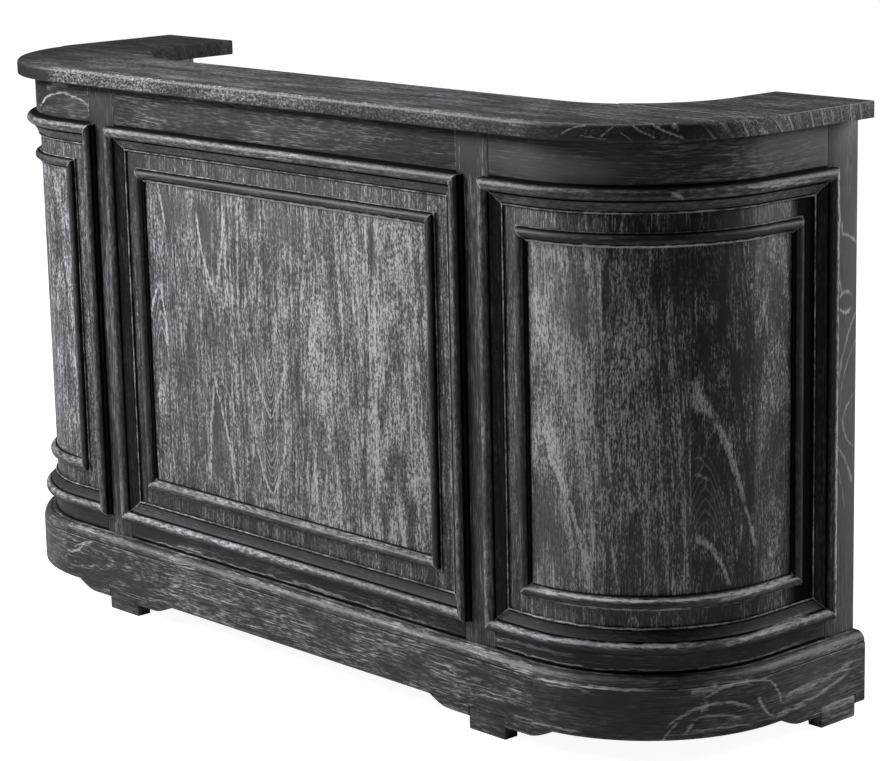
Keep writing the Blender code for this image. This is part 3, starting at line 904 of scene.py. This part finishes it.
def build_top():
    outer = CORNER_RADIUS + TOP_OVERHANG
    side_x = HALF_FRONT + outer
    corner_y = REAR_Y - SIDE_RUN
    inner_y = FRONT_Y - TOP_OVERHANG + TOP_BAND_WIDTH
    wing_x = side_x - TOP_WING_WIDTH
    inner_cx = wing_x - TOP_INNER_RADIUS
    inner_cy = inner_y + TOP_INNER_RADIUS
    joint_y = inner_y + TOP_JOINT_STEP
    outer_turn = math.asin((joint_y - corner_y) / outer)
    inner_turn = math.asin((joint_y - inner_cy) / TOP_INNER_RADIUS)
    down = -math.pi / 2
    low, high = HEIGHT - TOP_THICKNESS + JOINT, HEIGHT
    half = arc(HALF_FRONT, corner_y, outer, down, outer_turn, 44)
    half += arc(inner_cx, inner_cy, TOP_INNER_RADIUS, inner_turn, down, 12)
    corners = half + [(-x, y) for x, y in reversed(half)]

    def front_joint(a, b):
        return abs(a.y - joint_y) < 1e-4 and abs(b.y - joint_y) < 1e-4

    def wing_joint(a, b):
        return a.y < joint_y + 2 * JOINT and b.y < joint_y + 2 * JOINT

    piece = trace("counter_top_front", [(*corner, low) for corner in corners])
    draw_out(piece, (0, 0, high - low))
    round_over(piece, low, high, front_joint)
    # The left corner is darker above, from the white edge's end outwards: painted shade.
    saw_across(piece, (-0.84, -0.74, -0.65, -TOP_WHITE_EDGE_END))
    lay_grain(piece, False, [(ONE_BOARD, 0.205, -0.10, 0.0, 0.115, 0.20)], slab=True)
    whiten_edge(piece)

    def corner_shade(co):
        past_end = -co.x - TOP_WHITE_EDGE_END
        return max(0.0, min(0.5, 1.5 * past_end)) if co.z > HEIGHT - 0.0005 else 0.0

    blacken_as_painted_shade(piece, corner_shade)
    settle(piece, "top_front", ash_top)
    wing = arc(HALF_FRONT, corner_y, outer, outer_turn, 0.0, 8)
    wing += [(side_x, REAR_Y), (wing_x, REAR_Y)]
    wing += arc(inner_cx, inner_cy, TOP_INNER_RADIUS, 0.0, inner_turn, 24)
    for side, node in ((1, "top_right"), (-1, "top_left")):
        corners = [(side * x, y) for x, y in wing]
        corners[0] = (corners[0][0], corners[0][1] + JOINT)
        corners[-1] = (corners[-1][0], corners[-1][1] + JOINT)
        piece = trace("counter_" + node, [(*corner, low) for corner in corners])
        draw_out(piece, (0, 0, high - low))
        round_over(piece, low, high, wing_joint)
        lay_grain(piece, False, [(ONE_BOARD, 0.02, -0.06, 0.0, 0.095, 0.20)], slab=True)
        if side < 0:
            # Painted shade: the left wing is darkened all over, like the left corner of the front
            # board.
            blacken_as_painted_shade(piece, lambda co: 0.45)
        settle(piece, node, ash_top)


# Posts, rails and panels

def beside(places, gap, width):
    """Two saw cuts on each side of each place, width apart, beyond the gap."""
    steps = (-gap - width, -gap, gap, gap + width)
    return [place + step for place in places for step in steps]


def build_front():
    posts = {
        "post_front_right": (POST_INNER, POST_OUTER),
        "post_front_left": (-POST_OUTER, -POST_INNER),
        "post_rear_right": (REAR_POST, HALF_LINE),
        "post_rear_left": (-HALF_LINE, -REAR_POST),
    }
    edges = (-BAYS["right"][0], BAYS["centre"][0], BAYS["centre"][1], BAYS["right"][0])
    # Painted shade: the corners that no brush reaches stay without lime and are darkened as their
    # shadow, 3.5 mm beside the mouldings on the posts, and on the rails 2.4 mm below the frame, 3.4
    # mm above it and 3.4 mm above the plinth.
    shade_beside = 0.0035
    shade_below, shade_above = FRAME_BOTTOM - 0.0024, FRAME_TOP + 0.0034
    shade_on_plinth = PLINTH_TOP + 0.0034
    just = 0.0001

    def shade_beside_moulding(co):
        away = min(abs(co.x - edge) for edge in edges)
        return FRAME_BOTTOM < co.z < FRAME_TOP and away < shade_beside + just

    def shade_by_frame_or_plinth(co):
        by_frame = shade_below - just < co.z < shade_above + just
        return by_frame or co.z < shade_on_plinth + just

    for node, (start, end) in posts.items():
        high = HEIGHT - TOP_THICKNESS
        piece = add_board("ash_" + node, start, end, -POST_DEPTH, 0.0, PLINTH_BOTTOM, high)
        heart = (start + end) / 2 + random.Random(node).uniform(-0.05, 0.05)
        haze, flecks = (0.19, 0.10) if "rear" in node else (0.06, 0.28)
        cuts = beside(edges, shade_beside, 0.0011)
        saw_across(piece, [cut for cut in cuts if start + 0.002 < cut < end - 0.002])
        ends = (FRAME_BOTTOM - 0.001, FRAME_BOTTOM + 0.001, FRAME_TOP - 0.001, FRAME_TOP + 0.001)
        saw_across(piece, ends, axis=2)
        lay_grain(piece, True, [(ONE_BOARD, heart, 0.09, 0.03, haze, flecks)])
        blacken_as_painted_shade(piece, shade_beside_moulding)
        settle(piece, node, ash, bent="rear" in node)
    rail_low = FRAME_BOTTOM + MOULDING_OVERLAP
    rail_high = FRAME_TOP - MOULDING_OVERLAP
    # The boards that each panel is glued up from, as lay_grain() takes them. The right one is
    # darkened towards its rear end over these three places: painted shade in the recess by the rear
    # post, which holds black wax as well.
    shaded_rear_end = (1.118, 1.130, 1.142)
    panel_boards = {
        "centre": [
            (-0.60, -0.27, 0.030, -0.030, 0.17, 0.55),
            (-0.16, -0.08, 0.045, -0.055, 0.24, 0.62),
            (0.05, 0.11, 0.050, 0.050, 0.30, 0.75),
            (0.22, 0.30, 0.080, 0.040, 0.29, 0.85),
        ],
        "right": [
            (0.0, 0.66, 0.05, 0.06, 0.43, 0.60),
            (0.77, 0.82, 0.05, 0.05, 0.15, 1.20),
            (0.916, 0.96, 0.03, 0.08, 0.00, 0.70),
            (1.038, 1.09, 0.10, 0.05, 0.13, 0.65),
        ],
        "left": [
            (-2.0, -1.0, 0.05, 0.05, 0.21, 0.55),
            (-0.92, -0.85, 0.06, 0.04, 0.23, 0.55),
            (-0.75, -0.70, 0.05, 0.04, 0.23, 0.55),
        ],
    }
    for bay, (*_, start, end) in BAYS.items():
        start, end = start + JOINT, end - JOINT
        bent = bay != "centre"
        cuts = evenly(start, end, 0.009) if bent else []
        for node, low, high, heart in (
            ("frieze_rail_" + bay, rail_high, HEIGHT - TOP_THICKNESS, 0.99),
            ("lower_rail_" + bay, PLINTH_BOTTOM, rail_low, 0.15),
        ):
            piece = add_board("ash_" + node, start, end, -RAIL_DEPTH, 0.0, low, high)
            saw_across(piece, cuts)
            for height, fade in (
                (shade_above, 0.001), (shade_below, -0.001), (shade_on_plinth, 0.001),
            ):
                saw_across(piece, (height, height + fade), axis=2)
            haze, flecks = (0.042, 0.30) if low > 0.5 else (0.008, 0.28)
            lay_grain(piece, False, [(ONE_BOARD, heart, 0.10, 0.02, haze, flecks)])
            # Painted shade along the rails, below and above the frame and above the plinth.
            blacken_as_painted_shade(piece, shade_by_frame_or_plinth)
            settle(piece, node, ash, bent=bent)
        node = "panel_" + bay
        back = -PANEL_SETBACK - PANEL_THICKNESS
        low, high = rail_low + JOINT, rail_high - JOINT
        piece = add_board("ash_" + node, start, end, back, -PANEL_SETBACK, low, high)
        boards = panel_boards[bay]
        joints = [board[0] for board in boards] + [*shaded_rear_end]
        saw_across(piece, sorted(cuts + [joint for joint in joints if start < joint < end]))
        lay_grain(piece, True, boards)
        if bay == "right":
            fade = shaded_rear_end[2] - shaded_rear_end[0]
            blacken_as_painted_shade(piece, lambda co: min(1.0, max(0.0, (co.x - shaded_rear_end[0]) / fade)))
        panel_wood = {"centre": ash_centre, "right": ash_right, "left": ash_left}[bay]
        settle(piece, node, panel_wood, bent=bent)


# Mouldings

def outer_moulding_profile(side):
    """A high rounded bead, a quirk, a cove down to the flat band and a thin arris against it.
    bead is the lime at its 13 points from the outer foot over the top; below 0 it is blackened,
    as painted shade at its foot, in the quirk and on the flank turned from the light."""
    seat = JOINT / 2
    edge = OUTER_MOULDING_WIDTH
    half, foot, rise = 0.0102, 0.0085, 0.0105
    # At the right end the bead turns to the light from the right: its high values over the top are
    # a painted highlight, and the dark ones behind them painted shade.
    bead = {
        "top": (-1, -1, -0.4, 0.5, 0.55, 0.35, 0.15, 0.25, 0.50, 0.30, 0.1, -0.2, -1),
        "bottom": (-1, 0.2, -0.1, -0.2, -0.2, -0.1, 0.1, 0.45, 0.75, 0.90, 0.75, 0.3, -1),
        "right end": (-1, -0.5, 1.0, 3.0, 3.0, 3.0, 1.2, -0.2, -0.1, 0.15, -0.2, -0.5, -1),
    }.get(side, (-1, -0.6, 0.0, 0.05, 0.15, 0.30, 0.35, 0.25, 0.15, 0.10, 0.25, -0.2, -1))
    points = [(0.0, seat, -1.0), (0.0, 0.0045, -1.0)]
    for i, lime in enumerate(bead):
        turn = math.pi * (1 - i / 12)
        points.append((half + half * math.cos(turn), foot + rise * math.sin(turn), lime))
    points += [(0.0206, 0.0072, -1.0), (0.0222, 0.0068, -1.0), (0.0230, 0.0076, -0.5)]
    for i in range(1, 9):
        part = i / 8
        stained = 0.25 if side == "top" else -0.45
        out = 0.0076 - 0.0088 * part ** 0.8
        points.append((0.0230 + 0.0146 * part, out, stained - 0.15 * part))
    points += [(0.0386, -0.0016, -1.0), (0.0400, -0.0018, -1.0), (0.0408, -0.0018, 0.5)]
    points += [(0.0420, -0.0019, 1.0), (edge, -0.0024, 0.8), (edge, -0.0036, -0.6)]
    rebate = MOULDING_OVERLAP + 0.0007
    points += [(edge, seat - PANEL_SETBACK, -1.0), (rebate, seat - PANEL_SETBACK, -1.0)]
    points += [(rebate, seat, -1.0)]
    return points


def inner_moulding_profile(side):
    """A low rounded bead on the panel, with a step down at its edges."""
    seat = JOINT / 2 - PANEL_SETBACK
    start = INNER_MOULDING_START
    end = start + INNER_MOULDING_WIDTH
    # Below 0 the lime is painted shade: black in the quirk at the bead's outer foot and on the step
    # down to the field, all along it at the sides.
    points = [(start, seat, -0.6), (start, -0.0036, 0.7), (start + 0.0010, -0.0026, 0.9)]
    points += [(start + 0.0018, -0.0026, 0.2), (start + 0.0024, -0.0030, -1.0)]
    points += [(start + 0.0040, -0.0022, -1.0)]
    for i in range(13):
        turn = math.pi * (1 - i / 12)
        lime = -0.8 if i < 2 else -0.15 if side == "top" else 0.02
        if side == "bottom" and i > 7:
            lime = 0.16 * (i - 7)
        points.append((start + 0.0112 + 0.0074 * math.cos(turn), 0.0065 * math.sin(turn), lime))
    last = {"top": (-1.0, -0.6, 0.8, 1.0, 0.7), "bottom": (0.6, 0.7, 0.3, -1.0, -1.0)}
    last = last.get(side, (-1.0, -1.0, -0.8, -1.0, -1.0))
    steps = ((0.0060, 0.0014), (0.0045, 0.0018), (0.0028, 0.0024), (0.0010, 0.0030), (0.0, 0.0042))
    points += [(end - back, -down, lime) for (back, down), lime in zip(steps, last)]
    points += [(end, seat, -1.0)]
    return points


def build_mouldings():
    for bay, (left, right, *_) in BAYS.items():
        bent = bay != "centre"
        for kind, make in (("outer", outer_moulding_profile), ("inner", inner_moulding_profile)):
            for side in ("left", "right", "top", "bottom"):
                # The right bay's right end takes the bead with the painted highlight from the
                # right.
                at_end = (bay, side, kind) == ("right", "right", "outer")
                profile = make("right end" if at_end else side)
                edge = profile[0][0]
                node = f"{kind}_moulding_{bay}_{side}"
                upright = side in ("left", "right")
                turned = {
                    "left": lambda across: left + across,
                    "right": lambda across: right - across,
                    "bottom": lambda across: FRAME_BOTTOM + across,
                    "top": lambda across: FRAME_TOP - across,
                }[side]
                low, high = (FRAME_BOTTOM, FRAME_TOP) if upright else (left, right)
                first, last = low + edge, high - edge
                piece = run_profile("ash_" + node, profile, upright, turned, first, last)
                if bent and not upright:
                    saw_across(piece, evenly(first + 0.06, last - 0.06, 0.008))
                if upright:
                    corner_s = left if side == "left" else right
                    inward = 1 if side == "left" else -1
                    mitre(piece, (corner_s, FRAME_BOTTOM), (-inward, 0, 1))
                    mitre(piece, (corner_s, FRAME_TOP), (-inward, 0, -1))
                else:
                    corner_z = FRAME_BOTTOM if side == "bottom" else FRAME_TOP
                    inward = 1 if side == "bottom" else -1
                    mitre(piece, (left, corner_z), (1, 0, -inward))
                    mitre(piece, (right, corner_z), (-1, 0, -inward))
                heart = turned(0.02) + random.Random(node).uniform(-0.05, 0.05)
                lay_grain(piece, upright, [(ONE_BOARD, heart, 0.08, 0.02, 0.045, 0.16)])
                settle(piece, node, ash_moulding, bent=bent)


# Plinth and feet

def bracket_drop(s):
    """How far the plinth's lower edge reaches down at s, in the curved brackets beside the feet."""
    for middle in FEET.values():
        away = abs(s - middle) - FOOT_WIDTH / 2
        if 0.0004 <= away <= BRACKET_LENGTH:
            part = min((BRACKET_LENGTH - away) / BRACKET_CURVE, 1.0)
            return BRACKET_DROP * math.sin(part * math.pi / 2)
    return 0.0


def build_plinth():
    face = PLINTH_PROUD
    fillet = PLINTH_TOP - PLINTH_OVOLO
    # Below 0 the lime is painted shade: black where the plinth meets the rail above it and in the
    # quirk under the ovolo.
    profile = [(PLINTH_TOP, JOINT / 2, -1.0), (PLINTH_TOP, 0.0035, -0.5)]
    profile += [(PLINTH_TOP - 0.0004, 0.0070, 0.5)]
    for i in range(1, 10):
        turn = math.pi / 2 * i / 9
        out = face - 0.0014 - PLINTH_OVOLO * (1 - math.sin(turn))
        profile.append((PLINTH_TOP - PLINTH_OVOLO * (1 - math.cos(turn)), out, 0.08))
    profile += [(fillet - 0.0012, face - 0.0016, -0.7), (fillet - 0.0020, face - 0.0014, -0.7)]
    profile += [(fillet - 0.0026, face, 0.6), (fillet - 0.0045, face, 0.0)]
    profile += [(PLINTH_BOTTOM + 0.020, face, 0.0), (PLINTH_BOTTOM + 0.005, face, 0.0)]
    for i in range(1, 5):
        turn = math.pi / 2 * i / 4
        up, in_by = 0.004 * (1 - math.sin(turn)), 0.004 * (1 - math.cos(turn))
        profile.append((PLINTH_BOTTOM + up, face - in_by, 0.3))
    profile += [(PLINTH_BOTTOM, JOINT / 2, 0.0)]
    for node, start, end in (
        ("plinth_front", -PLINTH_JOINT, PLINTH_JOINT),
        ("plinth_right", PLINTH_JOINT + JOINT, HALF_LINE),
        ("plinth_left", -HALF_LINE, -PLINTH_JOINT - JOINT),
    ):
        piece = run_profile("ash_" + node, profile, False, lambda across: across, start, end)
        cuts = evenly(start, end, 0.008)
        for middle in FEET.values():
            for away in (0.0, 0.0006, 0.055, 0.060, 0.066, 0.073, 0.080, 0.090, BRACKET_LENGTH):
                cuts += [middle - FOOT_WIDTH / 2 - away, middle + FOOT_WIDTH / 2 + away]
        saw_across(piece, sorted(cut for cut in cuts if start + 0.0002 < cut < end - 0.0002))
        for vertex in piece.data.vertices:
            if vertex.co.z < PLINTH_BOTTOM + 0.0051:
                vertex.co.z -= bracket_drop(vertex.co.x)
        haze, flecks = (0.045, 0.62) if node == "plinth_front" else (0.06, 0.25)
        lay_grain(piece, False, [(ONE_BOARD, 0.09, 0.11, 0.03, haze, flecks)])
        settle(piece, node, ash_plinth, bent=True)
    for node, middle in FEET.items():
        start, end = middle - FOOT_WIDTH / 2, middle + FOOT_WIDTH / 2
        face = PLINTH_PROUD - 0.001
        high = PLINTH_BOTTOM - JOINT
        piece = add_board("ash_" + node, start, end, face - FOOT_DEPTH, face, 0.0, high, 0.0025)
        haze = 0.35 if "rear" in node else 0.05
        lay_grain(piece, False, [(ONE_BOARD, 0.0, 0.07, 0.02, haze, 0.30)])
        settle(piece, node, ash_plinth, bent="rear" in node)


build_top()
build_front()
build_mouldings()
build_plinth()
for node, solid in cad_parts.items():
    if "cleat" in node or node in ("shelf", "bottom_board"):
        solid.data.materials.clear()
        solid.data.materials.append(inside_wood)
bpy.data.objects.remove(plan_line)


# Studio: white floor and background, soft boxes at the left front, behind at the right and above

def white_room():
    bpy.ops.object.select_all(action="DESELECT")
    bpy.ops.mesh.primitive_plane_add(size=60, location=(0, 0, 0))
    floor = bpy.context.object
    floor.name = "studio_floor"
    material = start_material("white_paper_floor")
    add = partial(add_node, material.node_tree)
    path = add("LightPath", output=None)
    paper = add("BsdfDiffuse", {"Color": hex_colour("#b4b4b4")})
    # Seen by the camera it is white paper, fully white from 1.4 m off the counter's middle, so only
    # a faint shadow is left close to the plinth.
    place = add("TexCoord", output=3)
    far = add("VectorMath", {0: place}, output=1, operation="LENGTH")
    rise = add("MapRange", {
        "Value": far, "From Min": 0.8, "From Max": 1.4, "To Min": 0.94, "To Max": 1.0,
    }, interpolation_type="SMOOTHSTEP")
    white = add("Math", {0: path["Is Camera Ray"], 1: rise}, operation="MULTIPLY")
    glow = add("Emission", {"Color": (1, 1, 1, 1), "Strength": white})
    both = add("AddShader", {0: paper, 1: glow})
    add("OutputMaterial", {"Surface": both})
    floor.data.materials.append(material)

    world = bpy.data.worlds.new("studio")
    bpy.context.scene.world = world
    world.use_nodes = True
    world.node_tree.nodes.clear()
    add = partial(add_node, world.node_tree)
    path = add("LightPath", output=None)
    strength = add("Math", {0: path["Is Camera Ray"], 1: 0.95, 2: 0.05}, operation="MULTIPLY_ADD")
    sky = add("Background", {"Color": (1, 1, 1, 1), "Strength": strength})
    add("OutputWorld", {"Surface": sky})


def add_soft_box(name, azimuth, elevation, distance, width, height, power):
    """A soft box aimed at the middle of the counter, azimuth degrees round from the front to +X."""
    turn, rise = math.radians(azimuth), math.radians(elevation)
    level = math.cos(rise)
    away = Vector((math.sin(turn) * level, -math.cos(turn) * level, math.sin(rise)))
    data = bpy.data.lights.new(name, "AREA")
    data.shape = "RECTANGLE"
    data.size, data.size_y = width, height
    data.energy = power
    box = bpy.data.objects.new(name, data)
    box.location = Vector((0, 0, 0.5)) + away * distance
    box.rotation_euler = away.to_track_quat("Z", "Y").to_euler()
    bpy.context.scene.collection.objects.link(box)


white_room()
add_soft_box("left_soft_box", -46, 34, 4.5, 2.0, 2.0, 230)
add_soft_box("right_soft_box", 140, 25, 4.0, 1.6, 2.0, 80)
add_soft_box("overhead_soft_box", -20, 80, 4.0, 2.5, 1.5, 55)

# The photograph's camera, fitted together with the sizes.
lens = bpy.data.cameras.new("camera")
lens.lens = 117.04
lens.sensor_width = 36.0
camera = bpy.data.objects.new("camera", lens)
camera.location = (3.87354, -3.39163, 1.62077)
camera.rotation_euler = [math.radians(turn) for turn in (77.5474, 1.2351, 47.2692)]
bpy.context.scene.collection.objects.link(camera)
bpy.context.scene.camera = camera
bpy.context.scene.view_settings.view_transform = "Standard"
